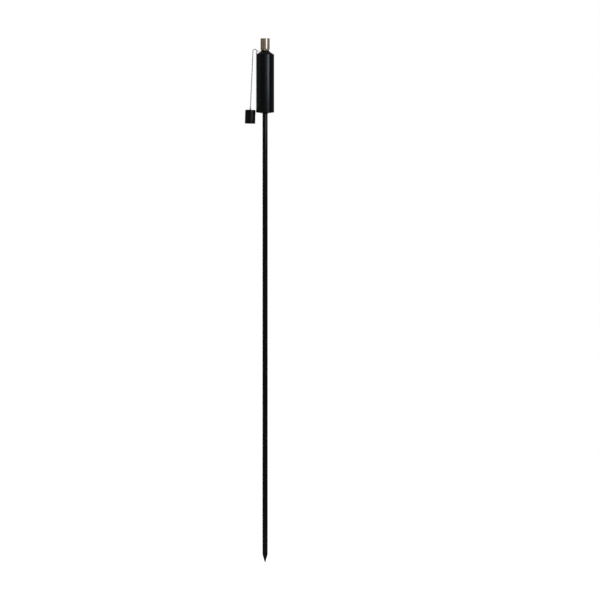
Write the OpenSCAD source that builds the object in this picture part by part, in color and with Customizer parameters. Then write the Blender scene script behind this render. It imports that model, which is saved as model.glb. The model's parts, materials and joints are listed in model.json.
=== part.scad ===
// Garden torch: a sectional steel pole with a spike, an oil canister that screws on top of it,
// a burner with a wick and a flame cup, and a snuffer cap that hangs on a bead chain.
// Millimetres, +Z up. The origin is on the pole's axis at ground level, and -X is the chain's side.

/* [Pole] */
// Outside diameter of the pole tubes
pole_d = 16.5; // [14:0.5:22]
// Wall thickness of the pole tubes
pole_wall = 1.2; // [0.8:0.1:1.6]
// Length of the lower tube
lower_l = 462; // [370:1:560]
// Length of the middle tube
middle_l = 462; // [370:1:560]
// Length of the upper tube
upper_l = 462; // [370:1:560]
// Small bevel on both ends of each tube
tube_bevel = 0.4; // [0.2:0.1:0.6]
// Depth from ground level to the point of the spike
planted_l = 300; // [150:10:400]
// Length of the spike's cone
spike_l = 25; // [18:1:40]
// Radius of the blunt point
spike_point_r = 1; // [0.5:0.1:2]
// Length of the spike's shank inside the lower tube
spike_shank_l = 20; // [10:1:40]

/* [Pole joints] */
// Outside diameter of the joint threads
thread_d = 10; // [8:0.5:10]
// Length of thread that stands out of a tube
thread_l = 18; // [12:1:22]
// Length of the plugs and inserts pressed into the tubes
plug_l = 24; // [23:1:30]
// Radial clearance between a thread and what it screws into
thread_fit = 0.08; // [0.02:0.01:0.1]
// Depth of the head's socket past the end of its thread
socket_end_gap = 0.8; // [0.4:0.1:1.5]
// Gap between parts that are screwed down on each other
seat_gap = 0.05; // [0.01:0.01:0.1]

/* [Canister] */
// Outside diameter of the canister
can_d = 57; // [50:0.5:70]
// Height of the canister's straight wall
can_wall_h = 182; // [140:1:220]
// Sheet thickness of the canister
can_sheet = 0.8; // [0.5:0.1:1]
// Radius of the edge between the wall and the shoulder
can_edge_r = 3.3; // [2:0.1:5]
// Slope of the shoulder above the horizontal
shoulder_deg = 33.8; // [25:0.1:40]
// Slope of the canister's bottom
bottom_deg = 8.6; // [3:0.1:12]
// Height of the bottom's lip inside the wall
bottom_lip_h = 6; // [3:0.5:10]
// How far the boss under the canister stands out past the pole
boss_lip = 0.5; // [0.3:0.1:3]
// Height of the boss below the canister
boss_h = 2.5; // [1:0.1:5]
// Height of the socket above the boss
socket_h = 22; // [20:1:30]
// Width of the socket's flange on the canister's bottom
socket_flange_w = 3; // [2:0.5:5]
// Thickness of the socket's flange
socket_flange_t = 1.5; // [1:0.1:3]

/* [Neck and burner] */
// Outside diameter of the filler neck
neck_d = 25.2; // [23:0.2:30]
// Wall thickness of the filler neck
neck_wall = 1; // [0.8:0.1:1.5]
// Height of the neck above the shoulder
neck_h = 2; // [1.8:0.1:5]
// Length of the neck below the shoulder
neck_drop = 9; // [5:0.5:14]
// Thickness of the gasket
gasket_t = 0.8; // [0.5:0.1:2]
// How far the burner's flange stands out past the neck
flange_lip = 0.6; // [0.2:0.1:1]
// Thickness of the burner's flange
flange_t = 1.6; // [1:0.1:3]
// Length of the skirt inside the neck
skirt_l = 9; // [6:0.5:12]
// Wall thickness of the skirt
skirt_wall = 1.2; // [0.8:0.1:2]
// Outside diameter of the flame cup
cup_d = 29.3; // [27:0.1:35]
// Height of the flame cup
cup_h = 35.8; // [28:0.1:45]
// Sheet thickness of the flame cup
cup_sheet = 0.8; // [0.6:0.1:1.2]
// Radius of the cup's lower edge
cup_edge_r = 3; // [2:0.1:4]

/* [Wick] */
// Diameter of the wick
wick_d = 12.4; // [10:0.1:13]
// How far the wick's top is below the cup's rim
wick_recess = 9; // [5:0.5:15]
// Gap between the wick's lower end and the socket that holds the pole
wick_foot_gap = 6; // [5:1:60]
// Radial room between the wick and its tube
wick_room = 0.3; // [0.2:0.05:0.5]
// Wall thickness of the wick tube
wick_tube_wall = 0.8; // [0.5:0.1:1]
// Height of the wick tube above the cup's floor
wick_tube_up = 16; // [10:0.5:20]
// Length of the wick tube below the burner's flange
wick_tube_down = 14; // [10:0.5:20]
// Width of the flare that holds the cup down
flare_w = 1.6; // [1:0.1:2.5]

/* [Chain anchor] */
// Diameter of the wire round the neck
loop_wire_d = 1.4; // [1.2:0.1:1.6]
// Distance of the wire's eye inside the canister's wall
eye_inset = 3.6; // [2:0.1:6]
// Radius of an eye, to the middle of its wire
eye_r = 2; // [1.8:0.1:2.2]
// Diameter of the eyelet's wire
eyelet_wire_d = 1.2; // [1:0.1:1.4]
// Diameter of the eyelet's foot
eyelet_foot_d = 1.8; // [1.4:0.1:2.4]
// Radius of the eyelet, to the middle of its wire
eyelet_r = 1.9; // [1.8:0.1:2.5]
// Height of the eyelet's centre over the shoulder's corner
eyelet_up = 3.7; // [3.5:0.1:5]
// Distance of the eyelet inside the canister's wall
eyelet_inset = 1.5; // [1:0.1:3]
// Radius of the hook in the eyelet, to the middle of its wire
hook_r = 1.6; // [1.5:0.1:2]
// Diameter of the hook's wire
hook_wire_d = 1.2; // [1:0.1:1.2]

/* [Bead chain] */
// Diameter of a bead
bead_d = 4; // [3.6:0.1:4.4]
// Sheet thickness of a bead
bead_sheet = 0.4; // [0.3:0.05:0.5]
// Distance between the centres of two beads
bead_pitch = 5.5; // [5:0.1:6]
// Diameter of the pins between the beads
pin_d = 0.9; // [0.7:0.1:1]
// Diameter of the heads on the pins
pin_head_d = 1.4; // [1.2:0.1:1.5]
// Diameter of the holes in the beads
bead_hole_d = 1.2; // [1.1:0.1:1.3]
// Distance from a coupling's eye to the bead that it holds
coupling_l = 6.6; // [6.4:0.1:8]
// Direction of the chain where it leaves the wire's eye
start_heading = 128; // [100:1:140]
// Turn of the chain at each bead of the arch over the shoulder
bead_turn = 50; // [35:1:52]
// Beads in the arch, after the first one
arch_beads = 2; // [2:1:2]

/* [Snuffer cap] */
// Radial room between the cap and the flame cup
cap_room = 1.15; // [0.8:0.05:2]
// Height of the cap
cap_h = 43.3; // [38:0.1:55]
// Sheet thickness of the cap
cap_sheet = 0.8; // [0.6:0.1:1.2]
// Radius of the cap's top edge
cap_edge_r = 3.3; // [2:0.1:5]
// How far the cap hangs above the canister's lower edge
cap_above = 7.8; // [0:0.1:20]
// Gap between the hanging cap and the canister
cap_gap = 1.1; // [0.8:0.1:5]
// Lean of the hanging cap
cap_lean = 1.6; // [0:0.1:3]
// Height of the eye's centre over the cap
cap_eye_h = 3.8; // [3.4:0.1:5]

/* [Hidden] */
$fn = 96;
small_fn = 32;
cut = 1; // how far a cutting shape runs past what it cuts

pole_r = pole_d / 2;
bore_r = pole_r - pole_wall;
thread_r = thread_d / 2;
hole_r = thread_r + thread_fit;
thread_bevel = 0.8;

// Heights along the pole
lower_z = spike_l - planted_l;
middle_z = lower_z + lower_l + seat_gap;
upper_z = middle_z + middle_l + seat_gap;
boss_z = upper_z + upper_l + seat_gap;

// Canister
can_r = can_d / 2;
boss_r = pole_r + boss_lip;
neck_r = neck_d / 2;
bottom_z = boss_z + boss_h;
can_z = bottom_z + (can_r - boss_r) * tan(bottom_deg);
corner_z = can_z + can_wall_h;
shoulder_z = corner_z + (can_r - neck_r) * tan(shoulder_deg);
sheet_drop = can_sheet / cos(shoulder_deg);
edge_turn = 90 - shoulder_deg;
edge_steps = 8;

// Burner
neck_top_z = shoulder_z + neck_h;
neck_bore_r = neck_r - neck_wall;
flange_z = neck_top_z + gasket_t + seat_gap;
cup_z = flange_z + flange_t;
cup_r = cup_d / 2;
rim_z = cup_z + cup_h;
wick_r = wick_d / 2;
tube_in_r = wick_r + wick_room;
tube_out_r = tube_in_r + wick_tube_wall;
wick_top_z = rim_z - wick_recess;
wick_foot_z = boss_z + boss_h + socket_h + wick_foot_gap;

// Wire loop, with its ring resting on the shoulder
loop_r = loop_wire_d / 2;
ring_r = neck_r + loop_r + seat_gap;
ring_z = shoulder_z + (loop_r + seat_gap) / cos(shoulder_deg) - (ring_r - neck_r) * tan(shoulder_deg);
eye_at = [-(can_r - eye_inset), 0, ring_z];
eyelet_at = [-(can_r - eyelet_inset), 0, corner_z + eyelet_up];
hook_at = eyelet_at + [0, 0, eyelet_r];

// Chain
bead_r = bead_d / 2;
cap_r = cup_r + cap_room + cap_sheet;
head_at = bead_r - bead_sheet - pin_head_d / 2 - seat_gap;
arch_end = bead_on_arch(arch_beads);
cap_eye_goal = [-(can_r + cap_gap + cap_r), 0, can_z + cap_above + cap_eye_h];
hang_way = cap_eye_goal - arch_end;
hang_heading = atan2(hang_way[2], hang_way[0]) + 360;
hang_links = round((norm(hang_way) - coupling_l) / bead_pitch);
last_bead = arch_beads + hang_links;
cap_eye_at = bead_at(last_bead) + coupling_l * toward(hang_heading);
bell_wall = 0.4;
bell_room = 0.1;
bell_r = bead_r + bell_room + bell_wall;
bell_reach = 0.3;
coupling_wire_r = 0.5;
coupling_ring_r = (coupling_l - bell_r - coupling_wire_r / 2) / 2;
eye_shank_r = 1.2;
eye_collar_r = 2.2;
peened_r = 1.8;
washer_r = 3;
washer_t = 0.8;
hook_heading = 225; // where the hook's wire leaves the eye

// A unit vector in the plane of the chain, turned from +X towards +Z
function toward(heading) = [cos(heading), 0, sin(heading)];

// Centres of the beads, counted from the top coupling
function bead_on_arch(i) =
    i == 0 ? eye_at + coupling_l * toward(start_heading)
    : bead_on_arch(i - 1) + bead_pitch * toward(start_heading + i * bead_turn);
function bead_at(i) =
    i <= arch_beads ? bead_on_arch(i) : arch_end + (i - arch_beads) * bead_pitch * toward(hang_heading);
function link_heading(i) = i <= arch_beads ? start_heading + i * bead_turn : hang_heading;

// Points on an arc, for profiles that are turned round an axis
function arc(centre, r, from, to, steps = edge_steps) =
    [for (k = [0:steps]) centre + r * [cos(from + (to - from) * k / steps), sin(from + (to - from) * k / steps)]];

// Turns +Z to a heading in the plane of the chain
module aimed(at, heading) {
    translate(at)
        rotate([0, 90 - heading, 0])
            children();
}

module ring(radius, wire_r) {
    rotate_extrude()
        translate([radius, 0])
            circle(r = wire_r, $fn = small_fn);
}

// A ring that stands in the plane of the chain
module upright_ring(radius, wire_r) {
    rotate([90, 0, 0])
        ring(radius, wire_r);
}

module bar(from, to, r) {
    way = to - from;
    translate(from)
        rotate([0, atan2(way[0], way[2]), 0])
            cylinder(r = r, h = norm(way), $fn = small_fn);
}

module tube(z, l) {
    color("#1b1b1d")
        translate([0, 0, z])
            rotate_extrude()
                polygon([
                    [bore_r, 0], [pole_r - tube_bevel, 0], [pole_r, tube_bevel],
                    [pole_r, l - tube_bevel], [pole_r - tube_bevel, l], [bore_r, l]
                ]);
}

// A plug inside the top of a tube, with the stud that the next part screws onto
module stud(tube_top_z) {
    color("#8d8f92")
        translate([0, 0, tube_top_z])
            rotate_extrude()
                polygon([
                    [0, -plug_l], [bore_r, -plug_l], [bore_r, 0], [thread_r, 0],
                    [thread_r, thread_l - thread_bevel], [thread_r - thread_bevel, thread_l], [0, thread_l]
                ]);
}

// A threaded insert inside the bottom of a tube
module joint_nut(tube_bottom_z) {
    color("#8d8f92")
        translate([0, 0, tube_bottom_z])
            rotate_extrude()
                polygon([[hole_r, 0], [bore_r, 0], [bore_r, plug_l], [hole_r, plug_l]]);
}

module spike_tip() {
    color("#1b1b1d")
        translate([0, 0, lower_z])
            rotate_extrude()
                polygon(concat(
                    [[0, spike_shank_l], [0, -spike_l]],
                    arc([0, spike_point_r - spike_l], spike_point_r, -80, -20, 4),
                    [[pole_r, 0], [bore_r, 0], [bore_r, spike_shank_l]]
                ));
}

module pole_lower() {
    tube(lower_z, lower_l);
}

module lower_joint_stud() {
    stud(lower_z + lower_l);
}

module middle_joint_nut() {
    joint_nut(middle_z);
}

module pole_middle() {
    tube(middle_z, middle_l);
}

module middle_joint_stud() {
    stud(middle_z + middle_l);
}

module upper_joint_nut() {
    joint_nut(upper_z);
}

module pole_upper() {
    tube(upper_z, upper_l);
}

module head_stud() {
    stud(upper_z + upper_l);
}

// Blind threaded bush, with a flange that rests on the canister's bottom
module pole_socket() {
    flange_r = boss_r + socket_flange_w;
    // the bottom slopes up under the flange
    rest_h = boss_h + can_sheet / cos(bottom_deg);
    edge_h = rest_h + socket_flange_w * tan(bottom_deg);
    color("#8d8f92")
        translate([0, 0, boss_z])
            rotate_extrude()
                polygon([
                    [hole_r, 0], [boss_r, 0], [boss_r, rest_h], [flange_r, edge_h],
                    [flange_r, edge_h + socket_flange_t], [boss_r, edge_h + socket_flange_t],
                    [boss_r, boss_h + socket_h], [0, boss_h + socket_h],
                    [0, thread_l + socket_end_gap], [hole_r, thread_l + socket_end_gap]
                ]);
}

module canister_bottom() {
    lip_r = can_r - can_sheet;
    rise = (lip_r - boss_r) * tan(bottom_deg);
    inner_rise = (lip_r - can_sheet - boss_r) * tan(bottom_deg);
    thick = can_sheet / cos(bottom_deg);
    color("#1b1b1d")
        translate([0, 0, bottom_z])
            rotate_extrude()
                polygon([
                    [boss_r, 0], [lip_r, rise], [lip_r, rise + bottom_lip_h],
                    [lip_r - can_sheet, rise + bottom_lip_h],
                    [lip_r - can_sheet, inner_rise + thick], [boss_r, thick]
                ]);
}

// The outline of the wall, edge and shoulder at a depth inside the outer surface, from the bottom up
function can_outline(depth) = concat(
    [[can_r - depth, can_z]],
    arc([can_r - can_edge_r, corner_z - can_edge_r * tan(edge_turn / 2)], can_edge_r - depth, 0, edge_turn),
    [[neck_r, shoulder_z - depth / cos(shoulder_deg)]]
);

module canister_shell() {
    inside = can_outline(can_sheet);
    color("#1b1b1d")
        rotate_extrude()
            polygon(concat(can_outline(0), [for (k = [len(inside) - 1:-1:0]) inside[k]]));
}

module filler_neck() {
    bevel = neck_wall / 4;
    color("#1b1b1d")
        rotate_extrude()
            polygon([
                [neck_bore_r, shoulder_z - sheet_drop - neck_drop], [neck_r, shoulder_z - sheet_drop - neck_drop],
                [neck_r, neck_top_z - bevel], [neck_r - bevel, neck_top_z], [neck_bore_r, neck_top_z]
            ]);
}

module neck_gasket() {
    color("#101010")
        translate([0, 0, neck_top_z])
            difference() {
                cylinder(r = neck_r, h = gasket_t);
                translate([0, 0, -cut])
                    cylinder(r = neck_bore_r, h = gasket_t + 2 * cut);
            }
}

// Flange over the neck, with the skirt that screws into it
module burner_collar() {
    skirt_r = neck_bore_r - thread_fit;
    color("#6e6350")
        translate([0, 0, flange_z])
            rotate_extrude()
                polygon([
                    [tube_out_r, 0], [skirt_r - skirt_wall, 0], [skirt_r - skirt_wall, -skirt_l],
                    [skirt_r, -skirt_l], [skirt_r, 0], [neck_r + flange_lip, 0],
                    [neck_r + flange_lip, flange_t], [tube_out_r, flange_t]
                ]);
}

module burner_cup() {
    corner = [cup_r - cup_edge_r, cup_edge_r];
    rim = [cup_r - cup_sheet / 2, cup_h - cup_sheet / 2];
    color("#6b5d48")
        translate([0, 0, cup_z])
            rotate_extrude()
                polygon(concat(
                    [[tube_out_r, 0]],
                    arc(corner, cup_edge_r, -90, 0),
                    arc(rim, cup_sheet / 2, 0, 180),
                    arc(corner, cup_edge_r - cup_sheet, 0, -90),
                    [[tube_out_r, cup_sheet]]
                ));
}

// Tube pressed through the cup and the collar, with a flare that holds the cup down
module wick_tube() {
    flare_z = cup_z + cup_sheet;
    color("#8a7c60")
        rotate_extrude()
            polygon([
                [tube_in_r, flange_z - wick_tube_down], [tube_out_r, flange_z - wick_tube_down],
                [tube_out_r, flare_z], [tube_out_r + flare_w, flare_z],
                [tube_out_r + flare_w, flare_z + wick_tube_wall], [tube_out_r, flare_z + wick_tube_wall],
                [tube_out_r, flare_z + wick_tube_up], [tube_in_r, flare_z + wick_tube_up]
            ]);
}

module wick() {
    color("#d8d2c2")
        translate([0, 0, wick_foot_z])
            cylinder(r = wick_r, h = wick_top_z - wick_foot_z);
}

// Wire round the neck, an arm out to the chain's eye, and a hook that goes into the eyelet
module neck_loop() {
    eye_foot = eye_at + eye_r * toward(hook_heading);
    hook_top = hook_at + [0, 0, hook_r];
    color("#3a3a3c") {
        translate([0, 0, ring_z])
            ring(ring_r, loop_r);
        bar([-ring_r, 0, ring_z], eye_at + [eye_r, 0, 0], loop_r);
        translate(eye_at)
            upright_ring(eye_r, loop_r);
        bar(hook_top, eye_foot, hook_wire_d / 2);
        translate(hook_at)
            rotate([0, 90, 0])
                ring(hook_r, hook_wire_d / 2);
    }
}

// Ring soldered to the shoulder by a short foot
module anchor_eyelet() {
    color("#3a3a3c")
        difference() {
            union() {
                translate(eyelet_at)
                    upright_ring(eyelet_r, eyelet_wire_d / 2);
                translate([eyelet_at[0], 0, corner_z - can_edge_r])
                    cylinder(r = eyelet_foot_d / 2, h = eyelet_up + can_edge_r - eyelet_r, $fn = small_fn);
            }
            rotate_extrude()
                polygon(concat(can_outline(0), [[0, shoulder_z], [0, can_z]]));
        }
}

// A ring through an eye, and a bell that holds the end bead
module coupling() {
    color("#a9abae")
        difference() {
            union() {
                translate([0, 0, coupling_ring_r])
                    rotate([0, 90, 0])
                        ring(coupling_ring_r, coupling_wire_r);
                translate([0, 0, coupling_l - bell_r])
                    cylinder(r = bell_r, h = bell_r + bell_reach, $fn = small_fn);
            }
            translate([0, 0, coupling_l])
                sphere(r = bead_r + bell_room, $fn = small_fn);
            translate([0, 0, coupling_l])
                cylinder(r = bead_r + bell_room, h = bell_reach + cut, $fn = small_fn);
        }
}

module chain_top_coupling() {
    aimed(eye_at, start_heading)
        coupling();
}

module chain_cap_coupling() {
    aimed(cap_eye_at, hang_heading - 180)
        coupling();
}

module bead_hole(heading) {
    rotate([0, 90 - heading, 0])
        cylinder(r = bead_hole_d / 2, h = bead_d, $fn = small_fn);
}

module chain_beads() {
    color("#a9abae")
        for (i = [0:last_bead])
            translate(bead_at(i))
                difference() {
                    sphere(r = bead_r, $fn = small_fn);
                    sphere(r = bead_r - bead_sheet, $fn = small_fn);
                    if (i > 0)
                        bead_hole(link_heading(i) + 180);
                    if (i < last_bead)
                        bead_hole(link_heading(i + 1));
                }
}

module chain_links() {
    color("#a9abae")
        for (i = [1:last_bead])
            aimed(bead_at(i - 1), link_heading(i)) {
                translate([0, 0, head_at])
                    sphere(r = pin_head_d / 2, $fn = small_fn);
                translate([0, 0, head_at])
                    cylinder(r = pin_d / 2, h = bead_pitch - 2 * head_at, $fn = small_fn);
                translate([0, 0, bead_pitch - head_at])
                    sphere(r = pin_head_d / 2, $fn = small_fn);
            }
}

// Puts its children at the hanging cap, with the origin at the middle of the cap's top
module on_cap() {
    translate(cap_eye_at)
        rotate([0, cap_lean, 0])
            translate([0, 0, -cap_eye_h])
                children();
}

module snuffer_cap() {
    corner = [cap_r - cap_edge_r, -cap_edge_r];
    color("#1b1b1d")
        on_cap()
            rotate_extrude()
                polygon(concat(
                    [[eye_shank_r, 0]],
                    arc(corner, cap_edge_r, 90, 0),
                    [[cap_r, -cap_h], [cap_r - cap_sheet, -cap_h]],
                    arc(corner, cap_edge_r - cap_sheet, 0, 90),
                    [[eye_shank_r, -cap_sheet]]
                ));
}

// Eye with a collar on the cap, and a shank peened over the washer
module cap_eye() {
    collar_t = cap_eye_h - eye_r - loop_r;
    peened_z = -cap_sheet - washer_t;
    color("#3a3a3c")
        on_cap() {
            translate([0, 0, cap_eye_h])
                upright_ring(eye_r, loop_r);
            cylinder(r = eye_collar_r, h = collar_t + loop_r / 2, $fn = small_fn);
            translate([0, 0, peened_z - washer_t])
                cylinder(r = eye_shank_r, h = washer_t - peened_z + loop_r / 2, $fn = small_fn);
            translate([0, 0, peened_z - washer_t])
                cylinder(r = peened_r, h = washer_t, $fn = small_fn);
        }
}

module cap_washer() {
    color("#a9abae")
        on_cap()
            translate([0, 0, -cap_sheet - washer_t])
                difference() {
                    cylinder(r = washer_r, h = washer_t, $fn = small_fn);
                    translate([0, 0, -cut])
                        cylinder(r = eye_shank_r, h = washer_t + 2 * cut, $fn = small_fn);
                }
}

spike_tip();
pole_lower();
lower_joint_stud();
middle_joint_nut();
pole_middle();
middle_joint_stud();
upper_joint_nut();
pole_upper();
head_stud();
pole_socket();
canister_bottom();
canister_shell();
filler_neck();
neck_gasket();
burner_collar();
burner_cup();
wick_tube();
wick();
neck_loop();
anchor_eyelet();
chain_top_coupling();
chain_beads();
chain_links();
chain_cap_coupling();
snuffer_cap();
cap_eye();
cap_washer();
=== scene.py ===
# Garden torch: a turned sheet-metal head on a sectional pole, with a burner, a wick and a snuffer on a bead chain.
# Metres, in the frame's own axes: +Z up the pole, -X on the chain's side.
import json
import math

import bmesh
import bpy
from mathutils import Matrix, Vector


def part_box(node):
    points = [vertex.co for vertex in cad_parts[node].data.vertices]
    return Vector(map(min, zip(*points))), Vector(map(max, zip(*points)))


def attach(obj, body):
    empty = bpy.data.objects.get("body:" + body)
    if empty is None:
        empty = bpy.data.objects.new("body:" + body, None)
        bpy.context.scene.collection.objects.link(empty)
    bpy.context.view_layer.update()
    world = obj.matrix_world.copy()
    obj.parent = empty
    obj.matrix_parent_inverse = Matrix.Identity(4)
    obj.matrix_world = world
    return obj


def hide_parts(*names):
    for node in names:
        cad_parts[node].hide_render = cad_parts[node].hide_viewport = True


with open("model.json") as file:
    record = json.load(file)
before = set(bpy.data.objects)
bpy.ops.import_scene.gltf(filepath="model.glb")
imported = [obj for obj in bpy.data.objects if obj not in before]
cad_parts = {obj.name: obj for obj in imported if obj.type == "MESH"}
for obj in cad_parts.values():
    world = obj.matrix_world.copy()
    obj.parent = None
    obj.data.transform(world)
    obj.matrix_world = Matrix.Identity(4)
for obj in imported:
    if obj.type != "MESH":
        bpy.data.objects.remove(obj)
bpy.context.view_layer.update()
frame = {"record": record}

mm = 0.001
fullTurn = 2 * math.pi
record = frame["record"]
bodyOf = {node: body for body, nodes in record["behaviour"]["bodies"].items() for node in nodes}
slotOf = {row["node"]: row["material_slot"] for row in record["subparts"]}
pivots = {joint["name"]: Vector(joint["pos_m"]) for joint in record["behaviour"]["joints"] if "pos_m" in joint}

view = {
    "distance": 20.0,       # far away, so the pole's sides stay parallel
    "height": 0.526,        # of the lens over ground level
    "aside": 0.110,         # the torch stands left of the middle
    "width": 1.889,         # of the picture at the torch
    "sensor": 36.0,
}


def placeCamera():
    lens = bpy.data.cameras.new("camera")
    lens.sensor_width = view["sensor"]
    lens.lens = view["sensor"] * view["distance"] / view["width"]
    lens.clip_end = 100
    camera = bpy.data.objects.new("camera", lens)
    camera.location = (view["aside"], -view["distance"], view["height"])
    camera.rotation_euler = (math.radians(90), 0, 0)
    bpy.context.collection.objects.link(camera)
    bpy.context.scene.camera = camera


placeCamera()
print("camera placed")


# Reading sizes off the frame

def bottomOf(node):
    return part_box(node)[0][2]


def topOf(node):
    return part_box(node)[1][2]


def radiusOf(node):
    low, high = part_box(node)
    return (high[1] - low[1]) / 2


# Node groups that several finishes share

def newGroup(name, inputs, outputs):
    group = bpy.data.node_groups.new(name, "ShaderNodeTree")
    for label, kind, value in inputs:
        socket = group.interface.new_socket(name=label, in_out="INPUT", socket_type=kind)
        socket.default_value = value
    for label, kind in outputs:
        group.interface.new_socket(name=label, in_out="OUTPUT", socket_type=kind)
    return group, group.nodes.new("NodeGroupInput"), group.nodes.new("NodeGroupOutput")


def mathNode(tree, operation, first, second=None, clamp=False):
    node = tree.nodes.new("ShaderNodeMath")
    node.operation = operation
    node.use_clamp = clamp
    for index, value in enumerate((first, second)):
        if value is None:
            continue
        if hasattr(value, "links"):
            tree.links.new(value, node.inputs[index])
        else:
            node.inputs[index].default_value = value
    return node.outputs[0]


def noiseNode(tree, where, scale, detail=3.0, roughness=0.5):
    node = tree.nodes.new("ShaderNodeTexNoise")
    node.inputs["Detail"].default_value = detail
    node.inputs["Roughness"].default_value = roughness
    tree.links.new(where, node.inputs["Vector"])
    if hasattr(scale, "links"):
        tree.links.new(scale, node.inputs["Scale"])
    else:
        node.inputs["Scale"].default_value = scale
    return node.outputs["Fac"]


def rangeNode(tree, value, fromMin, fromMax, toMin=0.0, toMax=1.0):
    node = tree.nodes.new("ShaderNodeMapRange")
    node.inputs["From Min"].default_value = fromMin
    node.inputs["From Max"].default_value = fromMax
    node.inputs["To Min"].default_value = toMin
    node.inputs["To Max"].default_value = toMax
    tree.links.new(value, node.inputs["Value"])
    return node.outputs["Result"]


def mixColours(tree, factor, first, second):
    node = tree.nodes.new("ShaderNodeMix")
    node.data_type = "RGBA"
    tree.links.new(factor, node.inputs["Factor"])
    for socket, value in ((node.inputs[6], first), (node.inputs[7], second)):
        if hasattr(value, "links"):
            tree.links.new(value, socket)
        else:
            socket.default_value = (*value, 1.0)
    return node.outputs[2]


def placeNode(tree):
    return tree.nodes.new("ShaderNodeTexCoord").outputs["Object"]


def stretched(tree, where, along):
    node = tree.nodes.new("ShaderNodeMapping")
    node.inputs["Scale"].default_value = along
    tree.links.new(where, node.inputs["Vector"])
    return node.outputs["Vector"]


# Worn edges: a mask for convex edges, broken up by noise
def makeEdgeWear():
    group, inside, outside = newGroup(
        "edge wear",
        [("Amount", "NodeSocketFloat", 0.5), ("Break Up", "NodeSocketFloat", 900.0)],
        [("Mask", "NodeSocketFloat")],
    )
    bend = group.nodes.new("ShaderNodeNewGeometry").outputs["Pointiness"]
    raised = rangeNode(group, bend, 0.515, 0.58)
    broken = rangeNode(group, noiseNode(group, placeNode(group), inside.outputs["Break Up"]), 0.42, 0.62)
    worn = mathNode(group, "MULTIPLY", raised, broken)
    group.links.new(mathNode(group, "MULTIPLY", worn, inside.outputs["Amount"], True), outside.inputs["Mask"])
    return group


# Handling marks: wide faint clouds, and fine specks
def makeHandling():
    group, inside, outside = newGroup(
        "handling marks",
        [("Cloud Scale", "NodeSocketFloat", 18.0), ("Speck Scale", "NodeSocketFloat", 700.0)],
        [("Clouds", "NodeSocketFloat"), ("Specks", "NodeSocketFloat")],
    )
    where = placeNode(group)
    clouds = rangeNode(group, noiseNode(group, where, inside.outputs["Cloud Scale"], 5.0, 0.6), 0.35, 0.7)
    specks = rangeNode(group, noiseNode(group, where, inside.outputs["Speck Scale"], 2.0), 0.62, 0.72)
    group.links.new(clouds, outside.inputs["Clouds"])
    group.links.new(specks, outside.inputs["Specks"])
    return group


# Fine marks that run round or along a drawn or turned piece
def makeDrawLines():
    group, inside, outside = newGroup(
        "draw lines",
        [("Scale", "NodeSocketFloat", 40.0), ("Length", "NodeSocketVector", (1.0, 1.0, 40.0))],
        [("Lines", "NodeSocketFloat")],
    )
    scaled = group.nodes.new("ShaderNodeVectorMath")
    scaled.operation = "MULTIPLY"
    group.links.new(placeNode(group), scaled.inputs[0])
    group.links.new(inside.outputs["Length"], scaled.inputs[1])
    lines = noiseNode(group, scaled.outputs[0], inside.outputs["Scale"], 4.0, 0.65)
    group.links.new(lines, outside.inputs["Lines"])
    return group


edgeWear = makeEdgeWear()
handling = makeHandling()
drawLines = makeDrawLines()


def groupNode(tree, group, **values):
    node = tree.nodes.new("ShaderNodeGroup")
    node.node_tree = group
    for label, value in values.items():
        node.inputs[label.replace("_", " ")].default_value = value
    return node.outputs


def newMaterial(name, **fixed):
    material = bpy.data.materials.new(name)
    material.use_nodes = True
    tree = material.node_tree
    shader = tree.nodes["Principled BSDF"]
    for label, value in fixed.items():
        shader.inputs[label.replace("_", " ")].default_value = value
    return material, tree, shader


def addBump(tree, shader, height, strength, distance):
    bump = tree.nodes.new("ShaderNodeBump")
    bump.inputs["Strength"].default_value = strength
    bump.inputs["Distance"].default_value = distance
    tree.links.new(height, bump.inputs["Height"])
    tree.links.new(bump.outputs["Normal"], shader.inputs["Normal"])


# Finishes

blackCoat = {
    "colour": (0.0022, 0.0022, 0.0024),
    "cloudColour": (0.0032, 0.0033, 0.0038),
    "wornColour": (0.035, 0.035, 0.036),
    "roughness": (0.215, 0.24),
    "speckRoughness": 0.05,
    "orangePeel": 420.0,        # scale of the coat's slight waviness
}


def makeBlackCoat():
    material, tree, shader = newMaterial("black powder coat", Specular_IOR_Level=0.30)
    marks = groupNode(tree, handling, Cloud_Scale=14.0, Speck_Scale=1100.0)
    worn = groupNode(tree, edgeWear, Amount=0.35, Break_Up=600.0)["Mask"]
    paint = mixColours(tree, marks["Clouds"], blackCoat["colour"], blackCoat["cloudColour"])
    tree.links.new(mixColours(tree, worn, paint, blackCoat["wornColour"]), shader.inputs["Base Color"])
    smooth, dull = blackCoat["roughness"]
    rough = rangeNode(tree, marks["Clouds"], 0.0, 1.0, smooth, dull)
    rough = mathNode(tree, "ADD", rough, mathNode(tree, "MULTIPLY", marks["Specks"], blackCoat["speckRoughness"]))
    tree.links.new(rough, shader.inputs["Roughness"])
    addBump(tree, shader, noiseNode(tree, placeNode(tree), blackCoat["orangePeel"], 2.0), 0.06, 0.0003)
    return material


bronze = {
    "colour": (0.52, 0.415, 0.30),
    "tarnish": (0.38, 0.29, 0.19),
    "tarnishAmount": 0.35,
    "wornColour": (0.62, 0.50, 0.35),
    "roughness": (0.16, 0.23),
    "ripple": 38.0,             # scale of the slight waves left by spinning the cup
    "rippleHeight": 12.0,       # against the fine lines
}


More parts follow.
